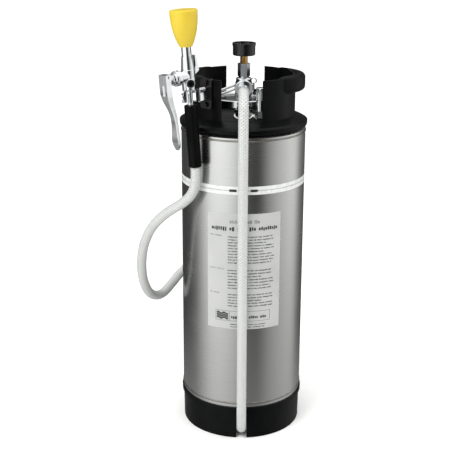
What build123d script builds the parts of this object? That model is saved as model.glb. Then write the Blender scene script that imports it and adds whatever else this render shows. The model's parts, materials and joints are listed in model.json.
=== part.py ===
from build123d import *
import math
import os

# Portable pressurised eye and face wash: a stainless tank standing in a rubber boot, with a rubber
# handle collar, a lid with a bail, a pressure gauge on a tee, and a squeeze sprayer on a hose.
# Millimetres, +Z up, origin on the tank's axis at floor level, -Y is the front.

# ---- tank ----
tank_r = 108.0
tank_wall_h = 478.0
sheet = 1.2
low_weld_z = 68.0
high_weld_z = low_weld_z + tank_wall_h
bead_h = 0.5
bead_w = 1.6
dome_skirt = 4.0
dome_h = 42.0
dome_start_z = high_weld_z + dome_skirt
dome_top_z = dome_start_z + dome_h
belly_skirt = 6.0
belly_start_z = low_weld_z - belly_skirt
belly_knuckle = 20.0
belly_low_z = 31.0

# ---- boot and collar (rubber) ----
boot_h = 60.3
boot_lip_h = 8.0
boot_lip_r = tank_r + 2.0
boot_wall_r = tank_r - 0.7
boot_foot_r = tank_r - 1.5
boot_inner_r = tank_r - 15.0
slot_play = 1.4
rear_notch_h = 37.0
boot_turn = -2.4
collar_lift = 9.5
collar_brim_h = 8.5
collar_h = 17.5
collar_low_z = high_weld_z + collar_lift
collar_step_z = collar_low_z + collar_brim_h
collar_shoulder_z = collar_low_z + collar_h
collar_r = tank_r + 2.7
collar_shoulder_r = tank_r + 0.6
apron_t = 3.0
apron_gap = 3.0
handle_r = tank_r - 19.0
handle_t = 5.0
handle_h = 68.0
handle_top_z = collar_shoulder_z + handle_h
collar_seat_r = handle_r - 11.0
gap_w = 68.0
collar_turn = -4.9
roll_w = 17.0
roll_h = 30.0
roll_edge = 8.0
roll_out = 16.5
roll_side = 75.0
roll_rise = 3.0
roll_reach = handle_r + roll_out
roll_top_z = handle_top_z + roll_rise

# ---- lid opening, lid and bail ----
neck_out_x = 54.0
neck_out_y = 43.0
neck_wall = 7.0
neck_sink = 15.0
neck_rise = 8.0
neck_low_z = dome_top_z - neck_sink
neck_top_z = dome_top_z + neck_rise
lid_flange_lap = 5.5
lid_gap = 1.5
lid_sheet = 2.0
gasket_h = 1.5
lid_rise = 6.0
lid_top_z = dome_top_z + lid_rise
bail_wire_r = 2.5
bail_half_y = 18.0
bail_pin_x = -8.0
bail_pin_rise = 22.0
bail_pin_z = lid_top_z + bail_pin_rise
bail_end_x = -45.0
foot_h = 3.0
foot_r = 3.6
lug_t = 2.0
lug_w = 12.0
pin_r = 1.5
pin_fit = 0.05

# ---- relief valve on the lid ----
relief_x = 17.0
relief_hex = 16.0
relief_h = 15.0
relief_top_z = lid_top_z + relief_h
relief_stem_r = 1.6
relief_cavity_r = 5.0
relief_collar_r = 4.4
relief_collar_z = lid_top_z + 3.5
relief_ring_rise = 15.0
relief_ring_z = relief_top_z + relief_ring_rise
relief_ring_r = 4.6
relief_wire_r = 1.0
spring_wire_r = 0.45

# ---- outlet post, tee and gauge ----
post_y = -60.0
outlet_turn = -2.9
bung_hex = 24.0
bung_h = 9.0
nipple_r = 9.0
tee_r = 13.0
tee_rise = 24.0
tee_h = 27.5
branch_rise = 15.5
tee_low_z = dome_top_z + tee_rise
tee_top_z = tee_low_z + tee_h
branch_z = tee_low_z + branch_rise
branch_r = 10.5
ring_r = 15.0
coupling_flats = 18.0
coupling_h = 23.9
coupling_top_z = tee_top_z + coupling_h
gauge_stem_flats = 11.0
gauge_stem_h = 13.1
gauge_h = 20.5
gauge_low_z = coupling_top_z + gauge_stem_h
gauge_top_z = gauge_low_z + gauge_h
gauge_r = 18.6
bezel_r = 19.4
dial_depth = 7.5
lens_depth = 3.8
dial_z = gauge_top_z - dial_depth
lens_z = gauge_top_z - lens_depth
dip_tube_r = 4.0
tube_wall = 1.0
dip_tube_low_z = 38.0

# ---- air filling valve ----
fill_x = 25.0
fill_y = -63.0
fill_hex = 17.0
fill_body_r = 7.2
fill_knurl_r = 8.4
fill_rise = 20.0
fill_cap_h = 15.0
fill_top_z = dome_top_z + fill_rise
fill_cap_top_z = fill_top_z + fill_cap_h

# ---- hose ----
hose_r = 8.5
slot_w = 2 * hose_r + slot_play
exit_drop = 20.0
exit_run = 21.3
grip_run = 24.0
ferrule_wall = 2.0
ferrule_len = 11.0

# ---- sprayer, in its own upright frame: +x away from the tank, z along the grip ----
sprayer_stand_off = 40.0
sprayer_drop = 23.8
sprayer_z = handle_top_z - sprayer_drop
sprayer_turn = 224.2
sprayer_x = (handle_r + sprayer_stand_off) * math.cos(math.radians(sprayer_turn))
sprayer_y = (handle_r + sprayer_stand_off) * math.sin(math.radians(sprayer_turn))
sprayer_lean_out = 2.7
sprayer_lean_side = 3.0
nut_half = 9.0
nut_r = 6.8
collet_r = 4.6
grip_top = -14.0
grip_low = -118.0
grip_r = 10.8
body_r = 11.5
body_low = 10.0
body_top = 46.0
water_r = 4.5
sleeve_r = 10.3
hook_w = 13.0
sleeve_top = 66.0
spout_r = 8.1
spout_top = 96.0
stem_z = 34.0
bonnet_face = 22.0
bonnet_big_r = 12.6
bonnet_mid_r = 9.8
bonnet_step = 31.0
bonnet_nose = 40.0
stem_r = 2.5
stem_fit = 0.05
spring_seat = 33.0
stem_collar_x = 41.0
stem_collar_r = 4.4
lever_web_x = 57.0
lever_sheet = 1.5
lever_w = 17.0
lever_flange = 11.0
lever_neck_half = 4.6
lever_paddle_half = 6.2
lever_tip_z = -83.0
lever_head_h = 4.5
lever_pin_x = 49.0
lever_pin_z = stem_z + 5.6
window_w = 7.0
window_low_z = 9.0
window_top_z = 28.0
cheek_t = 2.0
cheek_play = 0.3
cheek_rise = 2.2
cheek_h = 7.7
cheek_reach = 2.4
lever_play = 0.15
cap_low = 81.5
cap_top = 140.5
cap_low_r = 11.8
cap_mouth_r = 22.9
cap_wall = 2.5

# ---- holder bolted to the collar ----
holder_reach = 0.3
plate_t = 3.0
plate_w = 26.0
plate_h = 50.0
block_x = -17.0
prong_x = 6.5
fork_turn = 25.0
prong_in = 7.9
prong_t = 5.0
prong_half_h = body_low
bolt_r = 2.5
bolt_fit = 0.1
bolt_gap = 37.0
bolt_head_flats = 8.0
bolt_head_h = 3.5

# ---- paper and film ----
label_t = 0.25
label_h = 209.0
label_drop = 125.0
label_top_z = high_weld_z - label_drop
label_low_z = label_top_z - label_h
label_from = -36.0
label_to = 33.6
band_t = 0.2
band_h = 13.9
band_drop = 77.6
band_top_z = high_weld_z - band_drop
band_low_z = band_top_z - band_h

outlet_place = Rot(0, 0, outlet_turn) * Pos(0, post_y, 0)
sprayer_place = (
    Pos(sprayer_x, sprayer_y, sprayer_z)
    * Rot(0, 0, sprayer_turn)
    * Rot(0, sprayer_lean_out, 0)
    * Rot(sprayer_lean_side, 0, 0)
)
holder_place = Pos(sprayer_x, sprayer_y, sprayer_z) * Rot(0, 0, sprayer_turn)
holder_wall_x = handle_r - math.hypot(sprayer_x, sprayer_y)

# The hose runs from the ferrule down the front, through both slots of the boot and round the left.
hose_points = [
    (-4.1, -80.9, 628.0),
    (-6.2, -121.4, 602.0),
    (-5.6, -121.4, 38.0),
    (-4.6, -108.5, 17.0),
    (-2.8, -66.0, 11.0),
    (0.4, 10.0, 10.0),
    (3.2, 76.0, 11.5),
    (4.6, 109.0, 18.5),
    (5.2, 124.5, 44.0),
    (3.0, 128.0, 96.0),
    (-6.0, 129.0, 160.0),
    (-24.0, 130.0, 212.0),
    (-50.0, 128.0, 246.0),
    (-80.0, 116.0, 258.0),
    (-108.0, 98.0, 250.0),
    (-130.0, 76.0, 228.0),
    (-150.0, 52.0, 213.0),
    (-170.0, 26.0, 226.0),
    (-180.5, 2.0, 262.0),
    (-182.0, -18.0, 304.0),
    (-176.0, -34.0, 346.0),
    (-160.0, -48.0, 383.0),
    (-134.0, -64.0, 412.0),
    (-109.0, -78.0, 430.0),
    (-90.0, -86.5, 449.0),
]


def tube(outer_r, inner_r, low, high):
    """Upright tube."""
    ring = Circle(outer_r) - Circle(inner_r)
    return Pos(0, 0, low) * extrude(ring, high - low)


def rod(radius, low, high):
    """Upright rod."""
    return Pos(0, 0, low) * extrude(Circle(radius), high - low)


def hex_rod(flats, low, high):
    """Upright hexagonal bar, given across its flats."""
    return Pos(0, 0, low) * extrude(RegularPolygon(flats / 2, 6, major_radius=False), high - low)


def along_x(shape):
    """Turns an upright shape so that its +Z points to +X."""
    return Rot(0, 90, 0) * shape


def oval(x_r, y_r, low, high):
    """Upright oval block."""
    return Pos(0, 0, low) * extrude(Ellipse(x_r, y_r), high - low)


def turned(points):
    """Revolves a closed (radius, height) outline round the Z axis."""
    outline = Plane.XZ * make_face(Polyline(*points, close=True))
    return revolve(outline, Axis.Z)


def coil_spring(coil_r, wire_r, low, high, turns):
    """Upright helical spring between two heights."""
    travel = high - low - 2 * wire_r
    path = Pos(0, 0, low + wire_r) * Helix(travel / turns, travel, coil_r)
    section = Plane(origin=path @ 0, z_dir=path % 0) * Circle(wire_r)
    return sweep(section, path=path)


def sector(radius, from_deg, to_deg, low, high):
    """Upright wedge between two directions, counted from the front towards +X."""
    steps = 8
    corners = [(0, 0)]
    for i in range(steps + 1):
        a = math.radians(from_deg + (to_deg - from_deg) * i / steps)
        corners.append((radius * math.sin(a), -radius * math.cos(a)))
    return Pos(0, 0, low) * extrude(make_face(Polyline(*corners, close=True)), high - low)


def cap_arc(edge_r, edge_z, top_z):
    """Arc of a round cap, from its edge to the axis, where it is level."""
    rise = top_z - edge_z
    ball_r = (edge_r**2 + rise**2) / (2 * abs(rise))
    half = math.asin(edge_r / ball_r) / 2
    mid_z = top_z - math.copysign(ball_r * (1 - math.cos(half)), rise)
    return ThreePointArc((edge_r, edge_z), (ball_r * math.sin(half), mid_z), (0, top_z))


def dome_solid(inset):
    """Solid of the domed top head's outer or inner side."""
    radius = tank_r - inset
    edge = Line((radius, high_weld_z), (radius, dome_start_z))
    crown = cap_arc(radius, dome_start_z, dome_top_z - inset)
    axis = Line((0, dome_top_z - inset), (0, high_weld_z))
    floor = Line((0, high_weld_z), (radius, high_weld_z))
    return revolve(Plane.XZ * make_face([edge, crown, axis, floor]), Axis.Z)


def belly_solid(inset):
    """Solid of the bottom head's outer or inner side."""
    radius = tank_r - inset
    bend = belly_knuckle - inset
    flat_r = tank_r - belly_knuckle
    diagonal = bend * math.sqrt(0.5)
    edge = Line((radius, low_weld_z), (radius, belly_start_z))
    knuckle = ThreePointArc(
        (radius, belly_start_z),
        (flat_r + diagonal, belly_start_z - diagonal),
        (flat_r, belly_start_z - bend),
    )
    crown = cap_arc(flat_r, belly_start_z - bend, belly_low_z + inset)
    axis = Line((0, belly_low_z + inset), (0, low_weld_z))
    roof = Line((0, low_weld_z), (radius, low_weld_z))
    return revolve(Plane.XZ * make_face([edge, knuckle, crown, axis, roof]), Axis.Z)


def make_tank_shell():
    shell = tube(tank_r, tank_r - sheet, low_weld_z, high_weld_z)
    for z in (low_weld_z, high_weld_z - bead_w):
        shell += tube(tank_r + bead_h, tank_r - sheet / 2, z, z + bead_w)
    return shell


def make_top_head():
    head = dome_solid(0) - dome_solid(sheet)
    head -= oval(neck_out_x, neck_out_y, high_weld_z, dome_top_z + 1)
    head -= outlet_place * hex_rod(bung_hex, high_weld_z, dome_top_z)
    head -= Pos(fill_x, fill_y, 0) * hex_rod(fill_hex, high_weld_z, dome_top_z)
    return head


def make_bottom_head():
    return belly_solid(0) - belly_solid(sheet)


def make_lid_neck():
    hole_x = neck_out_x - neck_wall
    hole_y = neck_out_y - neck_wall
    ring = oval(neck_out_x, neck_out_y, neck_low_z, neck_top_z)
    ring -= oval(hole_x, hole_y, neck_low_z - 1, neck_top_z + 1)
    return fillet(ring.faces().sort_by(Axis.Z)[-1].edges(), 2.0)


def make_boot():
    outline = [
        (boot_inner_r, 0),
        (boot_foot_r, 0),
        (boot_wall_r, boot_h - boot_lip_h - 1.5),
        (boot_wall_r, boot_h - boot_lip_h),
        (boot_lip_r, boot_h - boot_lip_h + 1.0),
        (boot_lip_r, boot_h),
        (boot_inner_r, boot_h),
    ]
    boot = turned(outline) - belly_solid(0)
    reach = 2 * boot_lip_r
    front_slot = Pos(0, -reach / 2, 0) * Box(slot_w, reach, boot_h * 3)
    rear_notch = Pos(0, reach / 2, 0) * Box(slot_w, reach, rear_notch_h * 2)
    return boot - Rot(0, 0, boot_turn) * (front_slot + rear_notch)


def make_collar_roll(side):
    """Hand grip rolled outward along one handle."""
    mid_x = roll_reach - roll_w / 2
    mid_y = roll_side - roll_w / 2
    start = -62 if side > 0 else 118
    path = Pos(0, 0, roll_top_z - roll_h / 2) * EllipticalCenterArc(
        (0, 0), mid_x, mid_y, start_angle=start, arc_size=124
    )
    section = Plane(origin=path @ 0, x_dir=(0, 0, 1), z_dir=path % 0) * RectangleRounded(
        roll_h, roll_w, roll_edge
    )
    return sweep(section, path=path)


def make_apron():
    """Rubber skin over the dome inside the handles, open round the neck and the valves."""
    skin = Pos(0, 0, apron_t) * dome_solid(0)
    skin = skin & rod(collar_seat_r + 1.0, collar_low_z, dome_top_z + 2 * apron_t)
    skin -= oval(neck_out_x + apron_gap, neck_out_y + apron_gap, collar_low_z, neck_top_z)
    skin -= outlet_place * rod(bung_hex / math.sqrt(3) + apron_gap, collar_low_z, neck_top_z)
    skin -= Pos(fill_x, fill_y, 0) * rod(fill_hex / math.sqrt(3) + apron_gap, collar_low_z, neck_top_z)
    return skin


def make_collar():
    outline = [
        (collar_seat_r, collar_low_z),
        (collar_r - 1.0, collar_low_z),
        (collar_r, collar_low_z + 1.5),
        (collar_r, collar_step_z - 1.0),
        (collar_shoulder_r, collar_step_z),
        (collar_shoulder_r - 3.0, collar_step_z + 2.0),
        (handle_r, collar_shoulder_z),
        (handle_r - handle_t, collar_shoulder_z),
        (collar_seat_r, collar_shoulder_z + 3.0),
    ]
    wall = tube(handle_r, handle_r - handle_t, collar_shoulder_z - 1, handle_top_z)
    handles = wall + make_collar_roll(1) + make_collar_roll(-1)
    handles -= rod(handle_r - handle_t, collar_shoulder_z - 2, roll_top_z + 1)
    handles -= Pos(0, 0, collar_shoulder_z) * Box(gap_w, 3 * handle_r, 4 * handle_r)
    collar = Rot(0, 0, collar_turn) * (turned(outline) + handles) + make_apron()
    collar -= dome_solid(0)
    collar -= holder_bolt_holes(handle_t * 2)
    return collar


def make_label():
    skin = tube(tank_r + label_t, tank_r, label_low_z, label_top_z)
    return skin & sector(tank_r * 1.5, label_from, label_to, label_low_z, label_top_z)


def make_band():
    return tube(tank_r + band_t, tank_r, band_low_z, band_top_z)


def make_lid():
    hole_x = neck_out_x - neck_wall
    hole_y = neck_out_y - neck_wall
    flange_low = neck_low_z - gasket_h - lid_sheet
    cup_x = hole_x - lid_gap
    cup_y = hole_y - lid_gap
    lid = oval(hole_x + lid_flange_lap, hole_y + lid_flange_lap, flange_low, flange_low + lid_sheet)
    lid += oval(cup_x, cup_y, flange_low, lid_top_z)
    lid -= oval(cup_x - lid_sheet, cup_y - lid_sheet, flange_low - 1, lid_top_z - lid_sheet)
    for y in (-1, 1):
        lid += make_lug(y)
    lid -= Pos(relief_x, 0, 0) * rod(relief_cavity_r + 1.5, lid_top_z - 5, lid_top_z + 1)
    return lid


def make_lug(side):
    """Upright ear that carries one end of the bail."""
    y = side * (bail_half_y + bail_wire_r + 0.4 + lug_t / 2)
    foot = Pos(bail_pin_x, y, (lid_top_z + bail_pin_z) / 2) * Box(
        lug_w, lug_t, bail_pin_z - lid_top_z
    )
    head = Pos(bail_pin_x, y, bail_pin_z) * Rot(90, 0, 0) * Cylinder(lug_w / 2, lug_t)
    hole = Pos(bail_pin_x, y, bail_pin_z) * Rot(90, 0, 0) * Cylinder(pin_r, lug_t * 3)
    return foot + head - hole


def make_gasket():
    hole_x = neck_out_x - neck_wall
    hole_y = neck_out_y - neck_wall
    low = neck_low_z - gasket_h
    ring = oval(hole_x + lid_flange_lap - 0.5, hole_y + lid_flange_lap - 0.5, low, low + gasket_h)
    return ring - oval(hole_x + 0.2, hole_y + 0.2, low - 1, low + gasket_h + 1)


def bail_end_z():
    return neck_top_z + foot_h + bail_wire_r


def make_bail():
    y = bail_half_y
    path = FilletPolyline(
        (bail_pin_x, -y, bail_pin_z),
        (bail_end_x, -y, bail_end_z()),
        (bail_end_x, y, bail_end_z()),
        (bail_pin_x, y, bail_pin_z),
        radius=6.0,
    )
    section = Plane(origin=path @ 0, z_dir=path % 0) * Circle(bail_wire_r)
    bail = sweep(section, path=path)
    for side in (-1, 1):
        eye = Pos(bail_pin_x, side * y, bail_pin_z) * Rot(90, 0, 0)
        bail += eye * Cylinder(bail_wire_r + 1.2, 2 * bail_wire_r + 0.6)
        bail -= eye * Cylinder(pin_r + pin_fit, 6 * bail_wire_r)
    return bail


def make_bail_pins():
    pins = []
    for side in (-1, 1):
        centre = side * (bail_half_y + lug_t / 2 + 0.6)
        place = Pos(bail_pin_x, centre, bail_pin_z) * Rot(90, 0, 0)
        pins.append(place * Cylinder(pin_r, 2 * bail_wire_r + lug_t + 1.6))
    return Compound(children=pins)


def make_bail_feet():
    feet = []
    for side in (-1, 1):
        place = Pos(bail_end_x, side * (bail_half_y - 10.0), 0)
        foot = rod(foot_r, neck_top_z + 0.02, bail_end_z())
        wire = Pos(0, 0, bail_end_z()) * Rot(90, 0, 0) * Cylinder(bail_wire_r, 4 * foot_r)
        feet.append(place * (foot - wire))
    return Compound(children=feet)


def make_relief_body():
    low = lid_top_z - lid_sheet
    body = rod(relief_cavity_r + 1.5, low, lid_top_z)
    body += hex_rod(relief_hex, lid_top_z, relief_top_z - 3)
    body += rod(relief_cavity_r + 1.6, relief_top_z - 3, relief_top_z)
    body -= rod(relief_cavity_r, relief_collar_z - 2, relief_top_z - 2.5)
    body -= rod(relief_stem_r + stem_fit, low - 1, relief_top_z + 1)
    return Pos(relief_x, 0, 0) * body


def make_relief_stem():
    stem = rod(relief_stem_r, lid_top_z - lid_sheet + 1, relief_ring_z - relief_ring_r + relief_wire_r)
    stem += rod(relief_collar_r, relief_collar_z - 1.5, relief_collar_z)
    stem -= Pos(0, 0, relief_ring_z) * Rot(90, 0, 0) * Torus(relief_ring_r, relief_wire_r)
    return Pos(relief_x, 0, 0) * stem


def make_relief_ring():
    ring = Rot(90, 0, 0) * Torus(relief_ring_r, relief_wire_r)
    return Pos(relief_x, 0, relief_ring_z) * ring


def make_relief_spring():
    coil_r = (relief_stem_r + relief_cavity_r) / 2 + 0.2
    spring = coil_spring(coil_r, spring_wire_r, relief_collar_z + 0.05, relief_top_z - 2.55, 5)
    return Pos(relief_x, 0, 0) * spring


def make_outlet_bung():
    crown = dome_top_z - 2
    bung = hex_rod(bung_hex, high_weld_z + 22, crown) + rod(nipple_r + 2, crown, crown + bung_h - 3)
    bung -= rod(dip_tube_r, high_weld_z, dome_top_z + 20)
    return outlet_place * bung


def make_nipple():
    low = dome_top_z - 2 + bung_h - 3
    body = tube(nipple_r, dip_tube_r, low, tee_low_z)
    body += tube(nipple_r + 2.0, dip_tube_r, low + 2, low + 5)
    return outlet_place * body


def exit_place():
    """Frame at the first point of the hose, looking along it."""
    return Pos(*hose_points[0]) * Rot(0, 0, outlet_turn) * Rot(90 + exit_drop, 0, 0)


def make_tee():
    tee = rod(tee_r, tee_low_z, tee_top_z)
    tee = fillet(tee.edges(), 2.0)
    tee = outlet_place * tee
    tee += exit_place() * rod(branch_r, -16, 0)
    tee += exit_place() * fillet(rod(ring_r, -7, 0).edges(), 1.5)
    tee -= outlet_place * rod(dip_tube_r, tee_low_z - 1, tee_top_z + 1)
    return tee


def make_ferrule():
    sleeve = tube(hose_r + ferrule_wall, hose_r, 0, ferrule_len)
    for i in range(3):
        groove = tube(hose_r + ferrule_wall + 1, hose_r + ferrule_wall - 0.6, 2 + 3 * i, 3.2 + 3 * i)
        sleeve -= groove
    return exit_place() * sleeve


def make_coupling():
    coupling = hex_rod(coupling_flats, tee_top_z + 2.5, coupling_top_z)
    coupling += rod(coupling_flats / 2 - 0.5, tee_top_z, tee_top_z + 2.5)
    coupling -= rod(dip_tube_r, tee_top_z - 1, coupling_top_z + 1)
    return outlet_place * coupling


def make_gauge_stem():
    stem = hex_rod(gauge_stem_flats, coupling_top_z, gauge_low_z)
    stem += rod(dip_tube_r, coupling_top_z - 8, coupling_top_z)
    stem -= rod(1.5, coupling_top_z - 9, gauge_low_z + 1)
    return outlet_place * stem


def make_gauge_case():
    cup = rod(gauge_r, gauge_low_z, lens_z - 0.5)
    cup = fillet(cup.edges().sort_by(Axis.Z)[0], 2.0)
    cup -= rod(gauge_r - 1.5, dial_z, gauge_top_z)
    cup -= rod(gauge_r - 3.0, gauge_low_z + 3, gauge_top_z)
    cup += tube(3.0, 0.7 + pin_fit, gauge_low_z + 3, dial_z - 1.0)
    return outlet_place * cup


def make_bezel():
    ring = tube(bezel_r, gauge_r - 2.6, lens_z - 0.5, gauge_top_z)
    ring -= rod(gauge_r - 1.2, lens_z - 1, lens_z + 1.2)
    outer = ring.edges().filter_by(GeomType.CIRCLE).sort_by(Axis.Z)[-2:]
    return outlet_place * fillet(outer, 0.8)


def make_dial():
    return outlet_place * tube(gauge_r - 1.55, 1.2, dial_z, dial_z + 0.6)


def make_needle():
    """Pointer on its spindle, at the low end of the scale."""
    blade = Polyline((-0.9, -4.0), (0.9, -4.0), (0.35, gauge_r - 5.0), (-0.35, gauge_r - 5.0), close=True)
    needle = Rot(0, 0, 135) * (Pos(0, 0, dial_z + 1.4) * extrude(make_face(blade), 0.5))
    needle += rod(2.0, dial_z + 1.2, dial_z + 2.2)
    needle += rod(0.7, dial_z - 9, dial_z + 1.2)
    return outlet_place * needle


def make_lens():
    return outlet_place * rod(gauge_r - 1.25, lens_z - 0.45, lens_z + 1.15)


def make_dip_tube():
    pipe = tube(dip_tube_r, dip_tube_r - tube_wall, dip_tube_low_z, dome_top_z)
    return outlet_place * pipe


def make_fill_body():
    body = hex_rod(fill_hex, high_weld_z + 22, dome_top_z - 4)
    body += rod(fill_body_r, dome_top_z - 4, fill_top_z - 6)
    body += rod(fill_knurl_r, fill_top_z - 14, fill_top_z - 9)
    body += rod(fill_body_r - 2.2, fill_top_z - 6, fill_top_z + 4)
    body -= rod(2.5, high_weld_z, fill_top_z + 5)
    return Pos(fill_x, fill_y, 0) * body


def make_fill_core():
    """Valve core screwed into the filling valve."""
    core = rod(2.5, fill_top_z - 10, fill_top_z + 2) + rod(0.9, fill_top_z + 2, fill_top_z + 5)
    return Pos(fill_x, fill_y, 0) * core


def make_fill_cap():
    cap = rod(fill_knurl_r - 1, fill_top_z - 5.7, fill_cap_top_z)
    cap = fillet(cap.edges().sort_by(Axis.Z)[-1], 1.5)
    ridges = 18
    for i in range(ridges):
        notch = Pos(fill_knurl_r - 0.7, 0, 0) * rod(0.6, fill_top_z - 7, fill_cap_top_z - 3)
        cap -= Rot(0, 0, 360 / ridges * i) * notch
    cap -= rod(fill_body_r - 1.9, fill_top_z - 6, fill_top_z + 7)
    return Pos(fill_x, fill_y, 0) * cap


def hose_end():
    """Lower end of the grip, where the hose goes in."""
    foot = sprayer_place * Pos(0, 0, grip_low)
    return foot.position


def hose_route():
    """Chosen points, with the first and last runs in line with the ferrule and the grip."""
    leaving = (exit_place() * Pos(0, 0, exit_run)).position
    arriving = (sprayer_place * Pos(0, 0, grip_low - grip_run)).position
    chosen = [Vector(*p) for p in hose_points]
    return [chosen[0], leaving] + chosen[1:] + [arriving, hose_end()]


def corner_radii(route):
    """Arc radius at each corner of the route, as large as its two runs allow."""
    radii = []
    for before, corner, after in zip(route, route[1:], route[2:]):
        run_in = corner - before
        run_out = after - corner
        half_turn = math.radians(run_in.get_angle(run_out) / 2)
        radii.append(0.45 * min(run_in.length, run_out.length) / math.tan(half_turn))
    return radii


def make_hose():
    route = hose_route()
    radii = corner_radii(route)
    path = FilletPolyline(*route, radius=radii)
    section = Plane(origin=path @ 0, z_dir=path % 0) * Circle(hose_r)
    hose = sweep(section, path=path)
    print("hose runs", [round((b - a).length) for a, b in zip(route, route[1:])])
    print("hose radii", [round(r) for r in radii])
    print("hose length", round(path.length))
    return hose


def make_sprayer_body():
    body = rod(body_r, body_low, body_top)
    body = fillet(body.edges(), 3.0)
    body += Pos(0, 0, stem_z) * along_x(rod(bonnet_mid_r, 0, bonnet_face))
    side = Pos(0, 0, 23) * Rot(0, 0, 60) * along_x(fillet(rod(7.5, 0, 13).edges(), 1.0))
    body += side
    body -= Pos(0, 0, 23) * Rot(0, 0, 60) * along_x(rod(5.0, 9, 20))
    taper_h = sleeve_top - body_top + 4
    body += Pos(0, 0, sleeve_top - taper_h / 2) * Cone(body_r - 0.4, sleeve_r - 1.2, taper_h)
    body += rod(nut_r, nut_half - 1, body_low + 2)
    body -= rod(water_r, nut_half - 4, sleeve_top + 5)
    body -= Pos(0, 0, stem_z) * along_x(rod(5.5, -2, bonnet_face + 4))
    return sprayer_place * body


def make_hang_hook():
    """Flat finger behind the spout."""
    outline = Polyline(
        (-body_r + 1.5, 36.0), (-19.0, 41.0), (-15.5, 66.0), (-11.6, 68.0), (-12.0, 50.0), close=True
    )
    finger = Plane.XZ * make_face(outline)
    hook = extrude(finger, hook_w / 2, both=True)
    hook = fillet(hook.edges().filter_by(Axis.Y).sort_by(Axis.Z)[-1], 1.5)
    hook -= rod(body_r, body_top - 4, sleeve_top + 5)
    hook -= rod(body_r, 0, body_top)
    return sprayer_place * hook


def make_bonnet():
    bonnet = rod(bonnet_big_r, bonnet_face, bonnet_step)
    bonnet = fillet(bonnet.edges(), 1.5)
    bonnet += rod(bonnet_mid_r, bonnet_step - 2, bonnet_nose - 4)
    bonnet += rod(bonnet_mid_r - 2, bonnet_nose - 4, bonnet_nose)
    bonnet -= rod(stem_collar_r + 0.8, spring_seat, bonnet_nose + 1)
    bonnet -= rod(stem_r + stem_fit, 0, bonnet_nose)
    bonnet = Pos(0, 0, stem_z) * along_x(bonnet)
    back = bonnet_nose - 6
    front = lever_pin_x + cheek_reach
    mid_z = lever_pin_z + cheek_rise - cheek_h / 2
    for side in (-1, 1):
        mid_y = side * (stem_collar_r + cheek_play + cheek_t / 2)
        cheek = Pos((back + front) / 2, mid_y, mid_z) * Box(front - back, cheek_t, cheek_h)
        bonnet += cheek
    bonnet -= Pos(lever_pin_x, 0, lever_pin_z) * Rot(90, 0, 0) * Cylinder(pin_r, 30)
    bonnet -= Pos(0, 0, stem_z) * along_x(rod(stem_collar_r + 0.2, spring_seat, bonnet_nose + 20))
    return sprayer_place * bonnet


def make_valve_stem():
    tip = lever_web_x - lever_sheet - lever_play
    stem = rod(stem_r, 6.0, tip - stem_r) + Pos(0, 0, tip - stem_r) * Sphere(stem_r)
    stem += rod(stem_collar_r, stem_collar_x, stem_collar_x + 1.5)
    return sprayer_place * (Pos(0, 0, stem_z) * along_x(stem))


def make_stem_spring():
    coil_r = (stem_r + stem_collar_r) / 2 + 0.35
    spring = coil_spring(coil_r, spring_wire_r, spring_seat + 0.05, stem_collar_x - 0.05, 6)
    return sprayer_place * (Pos(0, 0, stem_z) * along_x(spring))


def make_seat_washer():
    washer = rod(stem_r + 2.0, 4.5, 6.0) + tube(stem_r + 2.0, stem_r, 6.0, 8.5)
    return sprayer_place * (Pos(0, 0, stem_z) * along_x(washer))


def lever_side(inset):
    """Side outline of the lever, drawn in by the sheet's thickness for its inside."""
    web = lever_web_x - inset
    top_z = lever_pin_z + lever_head_h - inset
    tip_z = lever_tip_z + 1 + inset
    open_x = lever_web_x - lever_flange
    front_tip = (lever_web_x - 23.0, tip_z + 2.0)
    top = Line((web, top_z), (web, 20.0))
    back = Spline(
        (web, 20.0),
        (web - 3.0, 2.0),
        (web - 13.0, -22.0),
        (web - 16.0, -50.0),
        (web - 19.0, tip_z),
        tangents=[(0, -1), (-0.25, -1)],
    )
    end = Line((web - 19.0, tip_z), front_tip)
    front = Spline(
        front_tip,
        (lever_web_x - 22.0, -50.0),
        (lever_web_x - 20.5, -20.0),
        (open_x - 2.0, 4.0),
        (open_x, 20.0),
        tangents=[(0.1, 1), (0, 1)],
    )
    neck = Line((open_x, 20.0), (open_x, top_z))
    head = Line((open_x, top_z), (web, top_z))
    return Plane.XZ * make_face([top, back, end, front, neck, head])


def lever_front(inset):
    """Front outline of the lever: a broad head, a narrow neck and a paddle."""
    head_half = lever_w / 2 - inset
    neck_half = lever_neck_half - inset
    paddle_half = lever_paddle_half - inset
    tip_half = paddle_half * 0.6
    tip_z = lever_tip_z + inset
    right = Spline(
        (head_half, 17.0),
        (neck_half + 1.6, -2.0),
        (neck_half, -16.0),
        (paddle_half, -54.0),
        (tip_half, tip_z + 4.0),
        tangents=[(0, -1), (-0.8, -1)],
    )
    tip = ThreePointArc((tip_half, tip_z + 4.0), (0, tip_z), (-tip_half, tip_z + 4.0))
    left = mirror(right, Plane.YZ)
    top_z = lever_pin_z + lever_head_h + 1
    sides = Polyline((-head_half, 17.0), (-head_half, top_z), (head_half, top_z), (head_half, 17.0))
    return Plane.YZ * make_face([right, tip, left, sides])


def make_lever():
    reach = 2 * lever_web_x
    lever = extrude(lever_side(0), lever_w, both=True) & extrude(lever_front(0), reach)
    hollow = extrude(lever_side(lever_sheet), lever_w, both=True)
    hollow += Pos(-lever_flange - 2, 0, 0) * hollow
    hollow = hollow & extrude(lever_front(lever_sheet), reach)
    lever -= hollow
    window_h = window_top_z - window_low_z
    window = SlotOverall(window_h, window_w, rotation=90)
    lever -= extrude(Plane.YZ.offset(lever_web_x - 4) * Pos(0, window_low_z + window_h / 2) * window, 8)
    lever -= Pos(lever_pin_x, 0, lever_pin_z) * Rot(90, 0, 0) * Cylinder(pin_r + pin_fit, 2 * lever_w)
    return sprayer_place * lever


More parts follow.
